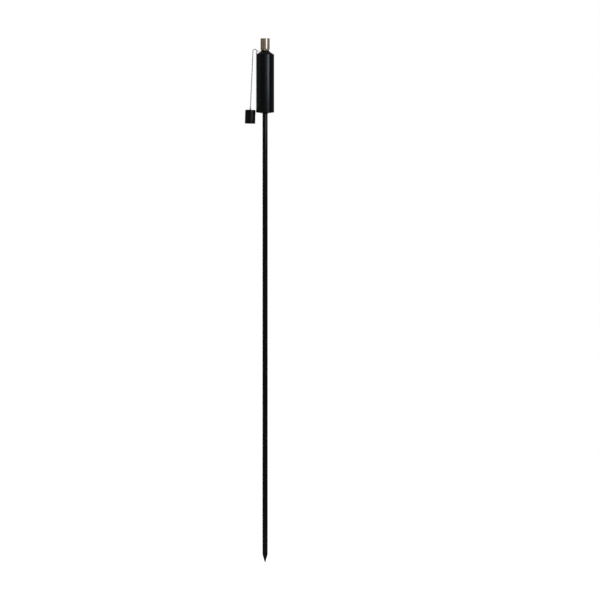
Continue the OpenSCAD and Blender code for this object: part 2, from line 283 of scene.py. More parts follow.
def makeBronze():
    material, tree, shader = newMaterial("polished brown bronze", Metallic=0.55)
    marks = groupNode(tree, handling, Cloud_Scale=55.0, Speck_Scale=1500.0)
    lines = groupNode(tree, drawLines, Scale=60.0, Length=(1.0, 1.0, 45.0))["Lines"]
    worn = groupNode(tree, edgeWear, Amount=0.6, Break_Up=900.0)["Mask"]
    stained = mathNode(tree, "MULTIPLY", marks["Clouds"], bronze["tarnishAmount"])
    metal = mixColours(tree, stained, bronze["colour"], bronze["tarnish"])
    tree.links.new(mixColours(tree, worn, metal, bronze["wornColour"]), shader.inputs["Base Color"])
    shine, dull = bronze["roughness"]
    tree.links.new(rangeNode(tree, lines, 0.3, 0.7, shine, dull), shader.inputs["Roughness"])
    waves = noiseNode(tree, placeNode(tree), bronze["ripple"], 1.0)
    uneven = mathNode(tree, "ADD", mathNode(tree, "MULTIPLY", waves, bronze["rippleHeight"]), lines)
    addBump(tree, shader, uneven, 0.18, 0.00006)
    return material


plating = {"wornGain": 1.5, "speckRoughness": 0.12, "lineStrength": 0.08}


def makeMetal(name, colour, shade, roughness, cloudScale):
    material, tree, shader = newMaterial(name, Metallic=1.0)
    marks = groupNode(tree, handling, Cloud_Scale=cloudScale, Speck_Scale=cloudScale * 12)
    lines = groupNode(tree, drawLines, Scale=90.0, Length=(1.0, 1.0, 12.0))["Lines"]
    worn = groupNode(tree, edgeWear, Amount=0.4, Break_Up=1500.0)["Mask"]
    metal = mixColours(tree, marks["Clouds"], colour, shade)
    bright = tuple(min(1.0, part * plating["wornGain"]) for part in colour)
    tree.links.new(mixColours(tree, worn, metal, bright), shader.inputs["Base Color"])
    low, high = roughness
    rough = rangeNode(tree, marks["Clouds"], 0.0, 1.0, low, high)
    specks = mathNode(tree, "MULTIPLY", marks["Specks"], plating["speckRoughness"])
    tree.links.new(mathNode(tree, "ADD", rough, specks), shader.inputs["Roughness"])
    addBump(tree, shader, lines, plating["lineStrength"], 0.0002)
    return material


rubber = {
    "colour": (0.009, 0.009, 0.009),
    "dustColour": (0.020, 0.019, 0.018),
    "roughness": (0.62, 0.82),
    "grain": 2200.0,
}


def makeRubber():
    material, tree, shader = newMaterial("black rubber", Specular_IOR_Level=0.35)
    marks = groupNode(tree, handling, Cloud_Scale=90.0, Speck_Scale=1800.0)
    dusty = mixColours(tree, marks["Clouds"], rubber["colour"], rubber["dustColour"])
    tree.links.new(dusty, shader.inputs["Base Color"])
    smooth, dull = rubber["roughness"]
    tree.links.new(rangeNode(tree, marks["Specks"], 0.0, 1.0, smooth, dull), shader.inputs["Roughness"])
    addBump(tree, shader, noiseNode(tree, placeNode(tree), rubber["grain"]), 0.15, 0.0003)
    return material


wickLook = {
    "fibre": (0.80, 0.765, 0.68),
    # painted shade: a darker colour for the hollows between the strands
    "groove": (0.40, 0.35, 0.27),
    "singed": (0.30, 0.23, 0.15),
    "singedDepth": 2.5 * mm,    # how far down the cut end is browned
    "threads": 2600.0,
    "threadStretch": (1.0, 1.0, 0.25),
}


def makeWickFibre():
    material, tree, shader = newMaterial("woven glass fibre", Sheen_Weight=0.25, Sheen_Roughness=0.5)
    where = placeNode(tree)
    threads = noiseNode(tree, stretched(tree, where, wickLook["threadStretch"]), wickLook["threads"], 2.0)
    # Painted shade: low pointiness picks out the hollows between the strands, and these get the darker groove colour
    low = tree.nodes.new("ShaderNodeNewGeometry").outputs["Pointiness"]
    weave = rangeNode(tree, low, 0.44, 0.53)
    shadedCloth = mixColours(tree, weave, wickLook["groove"], wickLook["fibre"])
    height = tree.nodes.new("ShaderNodeSeparateXYZ")
    tree.links.new(where, height.inputs[0])
    top = topOf("wick")
    uneven = mathNode(tree, "ADD", height.outputs["Z"],
                      mathNode(tree, "MULTIPLY", noiseNode(tree, where, 260.0), 0.004))
    burnt = rangeNode(tree, uneven, top - wickLook["singedDepth"], top + 0.002)
    tree.links.new(mixColours(tree, burnt, shadedCloth, wickLook["singed"]), shader.inputs["Base Color"])
    tree.links.new(rangeNode(tree, threads, 0.3, 0.7, 0.75, 0.95), shader.inputs["Roughness"])
    addBump(tree, shader, threads, 0.5, 0.0004)
    return material


finishes = {
    "black_steel": makeBlackCoat(),
    "bronze_cup": makeBronze(),
    "zinc_steel": makeMetal("zinc plate", (0.46, 0.47, 0.49), (0.36, 0.36, 0.36), (0.30, 0.44), 120.0),
    "dark_wire": makeMetal("blackened wire", (0.032, 0.032, 0.033), (0.022, 0.0215, 0.021), (0.30, 0.42), 200.0),
    "nickel_chain": makeMetal("nickel plate", (0.66, 0.65, 0.62), (0.48, 0.47, 0.44), (0.22, 0.34), 320.0),
    "black_rubber": makeRubber(),
    "wick_fibre": makeWickFibre(),
}
print("finishes made:", len(finishes))


# Mesh tools

def corner(r, z, radius=0.0):
    return (r, z, radius)


# Rounds each corner of a closed outline by its own radius
def softened(points, steps=5):
    outline = []
    count = len(points)
    for index, (r, z, radius) in enumerate(points):
        here = Vector((r, z))
        before = Vector(points[index - 1][:2]) - here
        after = Vector(points[(index + 1) % count][:2]) - here
        if radius <= 0 or r <= 0:
            outline.append((r, z))
            continue
        half = before.angle(after) / 2
        reach = min(radius / math.tan(half), before.length * 0.49, after.length * 0.49)
        start = here + before.normalized() * reach
        end = here + after.normalized() * reach
        for step in range(steps + 1):
            t = step / steps
            point = start * (1 - t) ** 2 + here * 2 * t * (1 - t) + end * t ** 2
            outline.append((max(point.x, 0.0), point.y))
    return outline


# Adds points along the upright stretches of an outline, for what a shape function bends there
def divided(outline, step, low=-1e9, high=1e9):
    fine = []
    for index, (r, z) in enumerate(outline):
        fine.append((r, z))
        nextR, nextZ = outline[(index + 1) % len(outline)]
        length = math.hypot(nextR - r, nextZ - z)
        if length <= step or not (low - step <= min(z, nextZ) and max(z, nextZ) <= high + step):
            continue
        parts = math.ceil(length / step)
        fine += [(r + (nextR - r) * k / parts, z + (nextZ - z) * k / parts) for k in range(1, parts)]
    return fine


# Turns a closed outline of (radius, height) points round Z; shape(angle, r, z) may move each ring's points
def turned(name, outline, segments=96, shape=None):
    mesh = bmesh.new()
    rings = []
    for r, z in outline:
        if r < 1e-7:
            rings.append([mesh.verts.new((0, 0, z))])
            continue
        ring = []
        for k in range(segments):
            angle = fullTurn * k / segments
            newR, newZ = shape(angle, r, z) if shape else (r, z)
            ring.append(mesh.verts.new((newR * math.cos(angle), newR * math.sin(angle), newZ)))
        rings.append(ring)
    for index, ring in enumerate(rings):
        other = rings[(index + 1) % len(rings)]
        if len(ring) == 1 and len(other) == 1:
            continue
        for k in range(segments):
            n = (k + 1) % segments
            if len(ring) == 1:
                mesh.faces.new((ring[0], other[n], other[k]))
            elif len(other) == 1:
                mesh.faces.new((ring[k], ring[n], other[0]))
            else:
                mesh.faces.new((ring[k], ring[n], other[n], other[k]))
    return meshObject(name, mesh)


def meshObject(name, mesh, sharpAngle=32):
    bmesh.ops.recalc_face_normals(mesh, faces=mesh.faces)
    data = bpy.data.meshes.new(name)
    mesh.to_mesh(data)
    mesh.free()
    data.polygons.foreach_set("use_smooth", [True] * len(data.polygons))
    data.set_sharp_from_angle(angle=math.radians(sharpAngle))
    piece = bpy.data.objects.new(name, data)
    bpy.context.collection.objects.link(piece)
    return piece


# Gives a piece its finish and its body, and hides the CAD node that it stands for
def fit(piece, node):
    piece.data.materials.clear()
    piece.data.materials.append(finishes[slotOf[node]])
    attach(piece, bodyOf[node])
    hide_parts(node)
    return piece


# A V thread cut into the surface at radius, between two heights; side is -1 on a screw and 1 in a hole
def threadShape(radius, low, high, pitch, depth, side):
    def shape(angle, r, z):
        if abs(r - radius) > 0.05 * mm or not low <= z <= high:
            return r, z
        turn = (z / pitch - angle / fullTurn) % 1.0
        groove = 1 - abs(2 * turn - 1)
        fade = min(1.0, (z - low) / pitch, (high - z) / pitch)
        return r + side * depth * groove * fade, z
    return shape


# Pole

tube = {"wall": 1.2 * mm, "bevel": 0.4 * mm}
thread = {"radius": 5 * mm, "pitch": 1.5 * mm, "depth": 0.75 * mm, "length": 18 * mm, "fit": 0.08 * mm}


def makePoleTube(node):
    low, high, outer = bottomOf(node), topOf(node), radiusOf(node)
    bore = outer - tube["wall"]
    outline = softened([
        corner(bore, low, 0.15 * mm), corner(outer, low, tube["bevel"]),
        corner(outer, high, tube["bevel"]), corner(bore, high, 0.15 * mm),
    ])
    return fit(turned(node + "_tube", outline, 128), node)


def makeSpike():
    low, high, outer = bottomOf("spike_tip"), topOf("spike_tip"), radiusOf("spike_tip")
    base = bottomOf("pole_lower")
    bore = outer - tube["wall"]
    outline = softened([
        corner(0, low), corner(0.75 * mm, low + 0.1 * mm, 0.6 * mm), corner(outer, base, 0.3 * mm),
        corner(bore, base + 0.02 * mm), corner(bore, high, 0.8 * mm), corner(0, high),
    ])
    return fit(turned("spike", outline, 128), "spike_tip")


def makeStud(node):
    low, high, plug = bottomOf(node), topOf(node), radiusOf(node)
    face = high - thread["length"]
    outline = softened([
        corner(0, low), corner(plug, low, 0.8 * mm), corner(plug, face, 0.2 * mm),
        corner(thread["radius"], face), corner(thread["radius"], high, 0.9 * mm), corner(0, high),
    ])
    fine = divided(outline, thread["pitch"] / 8, face, high)
    shape = threadShape(thread["radius"], face + 0.2 * mm, high, thread["pitch"], thread["depth"], -1)
    return fit(turned(node + "_screw", fine, 64, shape), node)


def makeJointNut(node):
    low, high, outer = bottomOf(node), topOf(node), radiusOf(node)
    bore = thread["radius"] + thread["fit"]
    outline = softened([
        corner(bore, low, 0.5 * mm), corner(outer, low, 0.3 * mm),
        corner(outer, high, 0.3 * mm), corner(bore, high, 0.5 * mm),
    ])
    fine = divided(outline, thread["pitch"] / 8, low, high)
    shape = threadShape(bore, low, high, thread["pitch"], thread["depth"], 1)
    return fit(turned(node + "_insert", fine, 64, shape), node)


makeSpike()
for section in ("lower", "middle", "upper"):
    makePoleTube("pole_" + section)
for node in ("lower_joint_stud", "middle_joint_stud", "head_stud"):
    makeStud(node)
for node in ("middle_joint_nut", "upper_joint_nut"):
    makeJointNut(node)
print("pole made")


# Canister

canister = {
    "sheet": 0.8 * mm,
    "edge": 3.3 * mm,           # radius between the wall and the shoulder
    "slope": math.radians(33.8),
    "bottomSlope": math.radians(8.6),
    "seamWidth": 2.4 * mm,      # lap seam up the back
    "seamDepth": 0.14 * mm,
    "seamEdge": 0.9 * mm,
    "crimpHeight": 2.4 * mm,    # fine line where the bottom is crimped on
    "crimpEdge": 0.45 * mm,
}


def makeCanisterShell():
    low, high, outer = bottomOf("canister_shell"), topOf("canister_shell"), radiusOf("canister_shell")
    sheet, neck = canister["sheet"], radiusOf("filler_neck")
    shoulder = high - (outer - neck) * math.tan(canister["slope"])
    drop = sheet / math.cos(canister["slope"])
    innerCorner = shoulder - sheet * math.tan((math.pi / 2 - canister["slope"]) / 2)
    outline = softened([
        corner(outer, low, 0.25 * mm), corner(outer, shoulder, canister["edge"] / 1.2), corner(neck, high),
        corner(neck, high - drop), corner(outer - sheet, innerCorner, canister["edge"] / 1.6),
        corner(outer - sheet, low, 0.1 * mm),
    ], 9)
    fine = divided(outline, 0.2 * mm, low + 1.2 * mm, low + 3.6 * mm)

    def shape(angle, r, z):
        if r < outer - 0.1 * mm:
            return r, z
        away = abs((angle - math.pi / 2 + math.pi) % fullTurn - math.pi) * outer
        groove = max(0.0, 1 - abs(away - canister["seamWidth"]) / canister["seamEdge"])
        crimp = max(0.0, 1 - abs(z - low - canister["crimpHeight"]) / canister["crimpEdge"])
        return r - canister["seamDepth"] * max(groove, crimp), z

    return fit(turned("canister_can", fine, 360, shape), "canister_shell")


def makeCanisterBottom():
    low, high, outer = bottomOf("canister_bottom"), topOf("canister_bottom"), radiusOf("canister_bottom")
    sheet, boss = canister["sheet"], bossRadius()
    rise = (outer - boss) * math.tan(canister["bottomSlope"])
    thick = sheet / math.cos(canister["bottomSlope"])
    outline = softened([
        corner(boss, low), corner(outer, low + rise, 0.3 * mm), corner(outer, high, 0.2 * mm),
        corner(outer - sheet, high, 0.2 * mm), corner(outer - sheet, low + rise + thick, 0.6 * mm),
        corner(boss, low + thick),
    ])
    return fit(turned("canister_base", outline, 192), "canister_bottom")


socket = {"bossHeight": 2.5 * mm, "flange": 3 * mm, "flangeThick": 1.5 * mm, "depth": 18.8 * mm}


def bossRadius():
    return radiusOf("pole_socket") - socket["flange"]


def makePoleSocket():
    low, high, flange = bottomOf("pole_socket"), topOf("pole_socket"), radiusOf("pole_socket")
    boss = bossRadius()
    bore = thread["radius"] + thread["fit"]
    rest = low + socket["bossHeight"] + canister["sheet"] / math.cos(canister["bottomSlope"])
    edge = rest + socket["flange"] * math.tan(canister["bottomSlope"])
    outline = softened([
        corner(bore, low, 0.5 * mm), corner(boss, low, 0.45 * mm), corner(boss, rest), corner(flange, edge, 0.2 * mm),
        corner(flange, edge + socket["flangeThick"], 0.3 * mm), corner(boss, edge + socket["flangeThick"], 0.3 * mm),
        corner(boss, high, 0.8 * mm), corner(0, high), corner(0, low + socket["depth"]),
        corner(bore, low + socket["depth"]),
    ])
    fine = divided(outline, thread["pitch"] / 8, low, low + socket["depth"])
    shape = threadShape(bore, low, low + socket["depth"], thread["pitch"], thread["depth"], 1)
    return fit(turned("socket_boss", fine, 96, shape), "pole_socket")


neck = {"wall": 1.0 * mm, "pitch": 2.0 * mm, "depth": 0.6 * mm}


def makeFillerNeck():
    low, high, outer = bottomOf("filler_neck"), topOf("filler_neck"), radiusOf("filler_neck")
    bore = outer - neck["wall"]
    outline = softened([
        corner(bore, low, 0.2 * mm), corner(outer, low, 0.2 * mm),
        corner(outer, high, 0.35 * mm), corner(bore, high, 0.25 * mm),
    ])
    fine = divided(outline, neck["pitch"] / 10, low, high)
    shape = threadShape(bore, low, high, neck["pitch"], neck["depth"], 1)
    return fit(turned("neck_tube", fine, 128, shape), "filler_neck")


def makeGasket():
    low, high, outer = bottomOf("neck_gasket"), topOf("neck_gasket"), radiusOf("neck_gasket")
    inner = outer - neck["wall"]
    outline = softened([
        corner(inner, low, 0.25 * mm), corner(outer, low, 0.35 * mm),
        corner(outer, high, 0.35 * mm), corner(inner, high, 0.25 * mm),
    ], 6)
    return fit(turned("gasket_ring", outline, 128), "neck_gasket")


makeCanisterShell()
makeCanisterBottom()
makePoleSocket()
makeFillerNeck()
makeGasket()
print("canister made")


# Burner

burner = {
    "flange": 1.6 * mm,
    "skirtWall": 1.2 * mm,
    "knurls": 90,
    "knurlDepth": 0.22 * mm,
    "cupSheet": 0.8 * mm,
    "cupEdge": 3.0 * mm,
    "rimBead": 0.55 * mm,       # rolled edge of the flame cup
    "rimProud": 0.12 * mm,      # how far the rolled edge stands out past the wall
    "tubeWall": 0.8 * mm,
    "flare": 1.6 * mm,
}


def makeCollar():
    low, high, outer = bottomOf("burner_collar"), topOf("burner_collar"), radiusOf("burner_collar")
    face = high - burner["flange"]
    hole = radiusOf("wick_tube") - burner["flare"]
    skirt = radiusOf("filler_neck") - neck["wall"] - thread["fit"]
    inside = skirt - burner["skirtWall"]
    outline = softened([
        corner(hole, face, 0.2 * mm), corner(inside, face), corner(inside, low, 0.2 * mm),
        corner(skirt, low, 0.4 * mm), corner(skirt, face), corner(outer, face, 0.3 * mm),
        corner(outer, high, 0.3 * mm), corner(hole, high),
    ])
    fine = divided(outline, neck["pitch"] / 10, low, face)
    cutThread = threadShape(skirt, low, face - 0.3 * mm, neck["pitch"], neck["depth"] * 0.9, -1)

    def shape(angle, r, z):
        if r > outer - 0.35 * mm:
            return r - burner["knurlDepth"] * (0.5 + 0.5 * math.cos(angle * burner["knurls"])), z
        return cutThread(angle, r, z)

    return fit(turned("collar_ring", fine, burner["knurls"] * 6, shape), "burner_collar")


def makeCup():
    low, high, outer = bottomOf("burner_cup"), topOf("burner_cup"), radiusOf("burner_cup")
    sheet, bead = burner["cupSheet"], burner["rimBead"]
    hole = radiusOf("wick_tube") - burner["flare"]
    wall = outer - burner["rimProud"]
    outline = softened([
        corner(hole, low), corner(wall, low, burner["cupEdge"]),
        corner(wall, high - 2.4 * bead, 0.2 * mm), corner(outer, high - 1.8 * bead, 0.2 * mm),
        corner(outer, high, bead), corner(outer - 2.2 * bead, high, bead),
        corner(wall - sheet, high - 2 * bead, 0.3 * mm),
        corner(wall - sheet, low + sheet, burner["cupEdge"] - sheet), corner(hole, low + sheet),
    ], 8)
    fine = divided(outline, 1.5 * mm, low, high)
    return fit(turned("flame_cup", fine, 192), "burner_cup")


def makeWickTube():
    low, high = bottomOf("wick_tube"), topOf("wick_tube")
    flare = radiusOf("wick_tube")
    outer = flare - burner["flare"]
    bore = outer - burner["tubeWall"]
    seat = bottomOf("burner_cup") + burner["cupSheet"]
    outline = softened([
        corner(bore, low, 0.2 * mm), corner(outer, low, 0.3 * mm), corner(outer, seat),
        corner(flare, seat, 0.15 * mm), corner(flare, seat + burner["tubeWall"], 0.4 * mm),
        corner(outer, seat + burner["tubeWall"], 0.4 * mm),
        corner(outer, high, 0.35 * mm), corner(bore, high, 0.3 * mm),
    ])
    return fit(turned("wick_sleeve", outline, 128), "wick_tube")


braid = {
    "strands": 12,              # each way round
    "lay": 26 * mm,             # height of one turn of a strand
    "depth": 0.42 * mm,
    "frayDepth": 0.35 * mm,
    "endRings": 7,              # rings of points across each cut end
}


# A plaited sleeve: two sets of strands cross, and each crossing is raised over the next
def makeWick():
    low, high, outer = bottomOf("wick"), topOf("wick"), radiusOf("wick")
    rings = braid["endRings"]
    outline = softened([
        corner(0, low), corner(outer, low, 1.4 * mm), corner(outer, high, 0.9 * mm), corner(0, high),
    ], 4)
    lowEnd = [(outer * k / rings, low) for k in range(1, rings)]
    highEnd = [(outer * k / rings, high) for k in range(rings - 1, 0, -1)]
    fine = divided(lowEnd + outline[1:-1] + highEnd + [(0, high), (0, low)], 0.7 * mm)

    def shape(angle, r, z):
        up = z / braid["lay"] * fullTurn
        left = math.sin(braid["strands"] * (angle + up) / 2)
        right = math.sin(braid["strands"] * (angle - up) / 2)
        if r > 0.75 * outer:
            weave = 1 - abs(left * right)
            newR = r - braid["depth"] * weave
        else:
            newR = r
        ripple = math.sin(17 * angle + r * 5200) * math.cos(11 * angle - r * 3100) + math.sin(29 * angle - r * 7900)
        fray = braid["frayDepth"] * (0.5 + 0.25 * ripple)
        newZ = z - fray if z > high - 0.3 * mm else z
        return newR, newZ

    return fit(turned("braided_wick", fine, 144, shape), "wick")


makeCollar()
makeCup()
makeWickTube()
makeWick()
print("burner made")


# A round wire along a path; closed joins the ends, otherwise they are domed
def wire(name, path, radius, closed=False, sides=20):
    mesh = bmesh.new()
    count = len(path)
    points = [Vector(point) for point in path]
    ways = []
    for k in range(count):
        before = points[k - 1] if k or closed else points[k]
        after = points[(k + 1) % count] if k < count - 1 or closed else points[k]
        ways.append((after - before).normalized())
    across = ways[0].orthogonal().normalized()
    frames = []
    for way in ways:
        across = (across - way * across.dot(way)).normalized()
        frames.append((across, way.cross(across)))
    twist = 0.0
    if closed:
        last = frames[-1][0] - ways[0] * frames[-1][0].dot(ways[0])
        twist = math.atan2(last.dot(frames[0][1]), last.dot(frames[0][0]))
    stations = [(points[k], radius, k) for k in range(count)]
    if not closed:
        dome = [(0.95, 0.3), (0.65, 0.76), (0.3, 0.95)]     # how far out, and how wide
        start = [(points[0] - ways[0] * radius * out, radius * wide, 0) for out, wide in dome]
        end = [(points[-1] + ways[-1] * radius * out, radius * wide, count - 1) for out, wide in reversed(dome)]
        stations = start + stations + end
    rings = []
    for point, r, k in stations:
        first, second = frames[k]
        turn = -twist * k / count
        rings.append([mesh.verts.new(point + (first * math.cos(turn + fullTurn * n / sides)
                                              + second * math.sin(turn + fullTurn * n / sides)) * r)
                      for n in range(sides)])
    for k in range(len(rings) if closed else len(rings) - 1):
        here, there = rings[k], rings[(k + 1) % len(rings)]
        for n in range(sides):
            m = (n + 1) % sides
            mesh.faces.new((here[n], here[m], there[m], there[n]))
    if not closed:
        mesh.faces.new(rings[0])
        mesh.faces.new(rings[-1])
    return meshObject(name, mesh)


# Several objects as one piece
def merged(name, pieces):
    mesh = bmesh.new()
    for piece in pieces:
        mesh.from_mesh(piece.data)
        bpy.data.objects.remove(piece)
    return meshObject(name, mesh)


def moved(piece, matrix):
    piece.data.transform(matrix)
    return piece


# A way in the chain's upright plane, turned from +X towards +Z
def toward(heading):
    return Vector((math.cos(heading), 0, math.sin(heading)))


# Puts a piece made along +Z at a point of the chain, turned to a heading
def aimed(piece, at, heading):
    return moved(piece, Matrix.Translation(at) @ Matrix.Rotation(math.pi / 2 - heading, 4, "Y"))


def circlePath(centre, radius, first, second, start=0.0, end=fullTurn, steps=64):
    angles = [start + (end - start) * k / steps for k in range(steps + (end - start < fullTurn - 0.01))]
    return [centre + first * radius * math.cos(a) + second * radius * math.sin(a) for a in angles]


xWay, yWay, zWay = Vector((1, 0, 0)), Vector((0, 1, 0)), Vector((0, 0, 1))


# Chain anchor

anchor = {
    "wire": 0.7 * mm,           # radius of the wire round the neck
    "eye": 2 * mm,
    "strand": 0.37 * mm,        # radius of each of the two strands twisted together as the arm
    "twists": 3.5,
    "eyeletWire": 0.6 * mm,
    "eyelet": 1.9 * mm,
    "hook": 1.6 * mm,
    "hookWire": 0.6 * mm,
    "hookTurn": math.radians(345),      # how far round the hook is closed
    "linkHeading": math.radians(225),   # where the link to the hook leaves the eye
    "armSteps": 60,
}
eyeAt = pivots["chain_swing"]


def eyeletCentre():
    low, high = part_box("anchor_eyelet")
    return Vector(((low[0] + high[0]) / 2, 0, high[2] - anchor["eyelet"] - anchor["eyeletWire"]))


def makeNeckLoop():
    ringRadius = radiusOf("neck_loop") - anchor["wire"]
    ring = wire("ring", circlePath(zWay * eyeAt.z, ringRadius, xWay, yWay, steps=160), anchor["wire"], True)
    armFrom = Vector((-ringRadius, 0, eyeAt.z))
    armTo = eyeAt + xWay * anchor["eye"]
    strands = []
    for side in (0, math.pi):
        path = []
        for k in range(anchor["armSteps"] + 1):
            turn = side + fullTurn * anchor["twists"] * k / anchor["armSteps"]
            off = (yWay * math.cos(turn) + zWay * math.sin(turn)) * (anchor["wire"] - anchor["strand"])
            path.append(armFrom.lerp(armTo, k / anchor["armSteps"]) + off)
        strands.append(wire("strand", path, anchor["strand"], sides=14))
    eye = wire("eye", circlePath(eyeAt, anchor["eye"], xWay, zWay), anchor["wire"], True)
    hookAt = eyeletCentre() + zWay * anchor["eyelet"]
    foot = eyeAt + toward(anchor["linkHeading"]) * anchor["eye"]
    link = wire("link", [foot.lerp(hookAt + zWay * anchor["hook"], k / 8) for k in range(9)], anchor["hookWire"])
    curl = circlePath(hookAt, anchor["hook"], zWay, yWay, 0, anchor["hookTurn"], 56)
    hook = wire("hook", curl, anchor["hookWire"])
    return fit(merged("neck_wire", [ring, *strands, eye, link, hook]), "neck_loop")


def makeEyelet():
    centre = eyeletCentre()
    low = bottomOf("anchor_eyelet")
    ring = wire("ring", circlePath(centre, anchor["eyelet"], xWay, zWay), anchor["eyeletWire"], True)
    top = centre.z - anchor["eyelet"]
    foot = softened([
        corner(0, low), corner(0.9 * mm, low), corner(0.9 * mm, top - 0.8 * mm, 0.6 * mm),
        corner(0.55 * mm, top + 0.1 * mm, 0.3 * mm), corner(0, top + 0.1 * mm),
    ])
    stem = moved(turned("stem", foot, 24), Matrix.Translation(xWay * centre.x))
    return fit(merged("eyelet_ring", [ring, stem]), "anchor_eyelet")


makeNeckLoop()
makeEyelet()
print("chain anchor made")


# Bead chain

chain = {
    "bead": 2 * mm,
    "sheet": 0.4 * mm,
    "pitch": 5.5 * mm,
    "hole": 0.6 * mm,
    "pin": 0.45 * mm,
    "pinHead": 0.7 * mm,
    "seam": 0.09 * mm,          # depth of the joint in a rolled bead
    "coupling": 6.6 * mm,       # from an eye to the bead that its coupling holds
    "couplingRoom": 0.1 * mm,   # round the bead inside the coupling
    "couplingLip": 0.3 * mm,    # how far the coupling's mouth reaches past the bead's middle
    "ringWire": 0.5 * mm,
    "leaving": math.radians(128),
    "turn": math.radians(50),   # at each bead of the arch over the shoulder
    "archBeads": 2,
}
capEyeAt = pivots["cap_tilt"]


def chainPath():
    heading = chain["leaving"]
    beads = [eyeAt + toward(heading) * chain["coupling"]]
    headings = [heading]
    for _ in range(chain["archBeads"]):
        heading += chain["turn"]
        beads.append(beads[-1] + toward(heading) * chain["pitch"])
        headings.append(heading)
    way = capEyeAt - beads[-1]
    hang = math.atan2(way.z, way.x) + fullTurn
    for _ in range(round((way.length - chain["coupling"]) / chain["pitch"])):
        beads.append(beads[-1] + toward(hang) * chain["pitch"])
        headings.append(hang)
    return beads, headings + [hang]


# A rolled bead along +Z, with its two holes swung by half of the bend each
def makeBead(at, heading, bend):
    outer, inner = chain["bead"], chain["bead"] - chain["sheet"]
    lip = math.asin((chain["hole"] + 0.12 * mm) / outer)
    innerLip = math.asin(chain["hole"] / inner)
    arc = [lip + (math.pi - 2 * lip) * k / 20 for k in range(21)]
    back = [math.pi - innerLip - (math.pi - 2 * innerLip) * k / 8 for k in range(9)]
    outline = [(outer * math.sin(a), -outer * math.cos(a)) for a in arc]
    outline += [(chain["hole"] + 0.01 * mm, outer * 0.915)]
    outline += [(inner * math.sin(a), -inner * math.cos(a)) for a in back]
    outline += [(chain["hole"] + 0.01 * mm, -outer * 0.915)]

    def shape(angle, r, z):
        gap = abs((angle + math.pi) % fullTurn - math.pi) < 0.02 and math.hypot(r, z) > outer * 0.97
        return (r - chain["seam"] if gap else r), z

    piece = turned("bead", outline, 40, shape)
    for vertex in piece.data.vertices:
        share = max(-1.0, min(1.0, vertex.co.z / outer / 0.8))
        swing = share * abs(share) * bend / 2
        vertex.co = Matrix.Rotation(-swing, 3, "Y") @ vertex.co
    return aimed(piece, at, heading + bend / 2)


def makePin(at, heading):
    reach = chain["bead"] - chain["sheet"] - chain["pinHead"] - 0.05 * mm
    length = chain["pitch"] - 2 * reach
    head = chain["pinHead"]
    angles = [math.radians(degrees) for degrees in range(0, 141, 20)]
    ball = [(head * math.sin(a), -head * math.cos(a)) for a in angles]
    outline = [(r, z) for r, z in ball if r >= chain["pin"] or z < 0]
    outline.append((chain["pin"], length / 2 - 0.1 * mm))
    outline += [(r, length - z) for r, z in reversed(outline)]
    return aimed(turned("pin", outline, 20), at + toward(heading) * reach, heading)


def makeCoupling(name, at, heading):
    length, bead = chain["coupling"], chain["bead"]
    room = bead + chain["couplingRoom"]
    bell = room + chain["sheet"]
    mouth = length + chain["couplingLip"]
    angles = [math.radians(degrees) for degrees in range(90, -1, -10)]
    hollow = [(room * math.sin(a), length - room * math.cos(a)) for a in angles]
    outline = softened([
        corner(0, length - bell), corner(bell, length - bell, 1.5 * mm),
        corner(bell, mouth, 0.18 * mm), corner(room, mouth, 0.18 * mm),
    ], 8) + hollow
    ringRadius = (length - bell - chain["ringWire"] / 2) / 2
    ring = wire("ring", circlePath(zWay * ringRadius, ringRadius, yWay, zWay, steps=48), chain["ringWire"], True, 16)
    piece = merged(name, [turned("bell", outline, 48), ring])
    return aimed(piece, at, heading)


def makeChain():
    beads, headings = chainPath()
    last = len(beads) - 1
    balls = [makeBead(at, headings[k], headings[k + 1] - headings[k]) for k, at in enumerate(beads)]
    pins = [makePin(beads[k], headings[k + 1]) for k in range(last)]
    fit(merged("bead_chain", balls), "chain_beads")
    fit(merged("bead_pins", pins), "chain_links")
    fit(makeCoupling("coupling_top", eyeAt, headings[0]), "chain_top_coupling")
    fit(makeCoupling("coupling_cap", capEyeAt, headings[-1] - math.pi), "chain_cap_coupling")
    print("chain made:", len(beads), "beads")


makeChain()


# Snuffer cap

cap = {
    "radius": 16.6 * mm,
    "height": 43.3 * mm,
    "sheet": 0.8 * mm,
    "edge": 3.3 * mm,
    "hem": 2.2 * mm,            # height of the folded edge
    "hemStep": 0.14 * mm,
    "lean": math.radians(1.6),
    "eyeHeight": 3.8 * mm,
    "shank": 1.2 * mm,
    "washer": 0.8 * mm,
}


def onCap(piece):
    return moved(piece, Matrix.Translation(capEyeAt) @ Matrix.Rotation(cap["lean"], 4, "Y")
                 @ Matrix.Translation((0, 0, -cap["eyeHeight"])))


def makeCap():
    outer, sheet, foot = cap["radius"], cap["sheet"], -cap["height"]
    wall = outer - cap["hemStep"]
    outline = softened([
        corner(cap["shank"], 0), corner(wall, 0, cap["edge"]),
        corner(wall, foot + cap["hem"], 0.25 * mm), corner(outer, foot + cap["hem"] - 0.25 * mm, 0.15 * mm),
        corner(outer, foot, 0.35 * mm), corner(outer - sheet, foot, 0.25 * mm),
        corner(wall - sheet, -sheet, cap["edge"] - sheet), corner(cap["shank"], -sheet),
    ], 9)
    return fit(onCap(turned("snuffer", divided(outline, 2 * mm), 224)), "snuffer_cap")


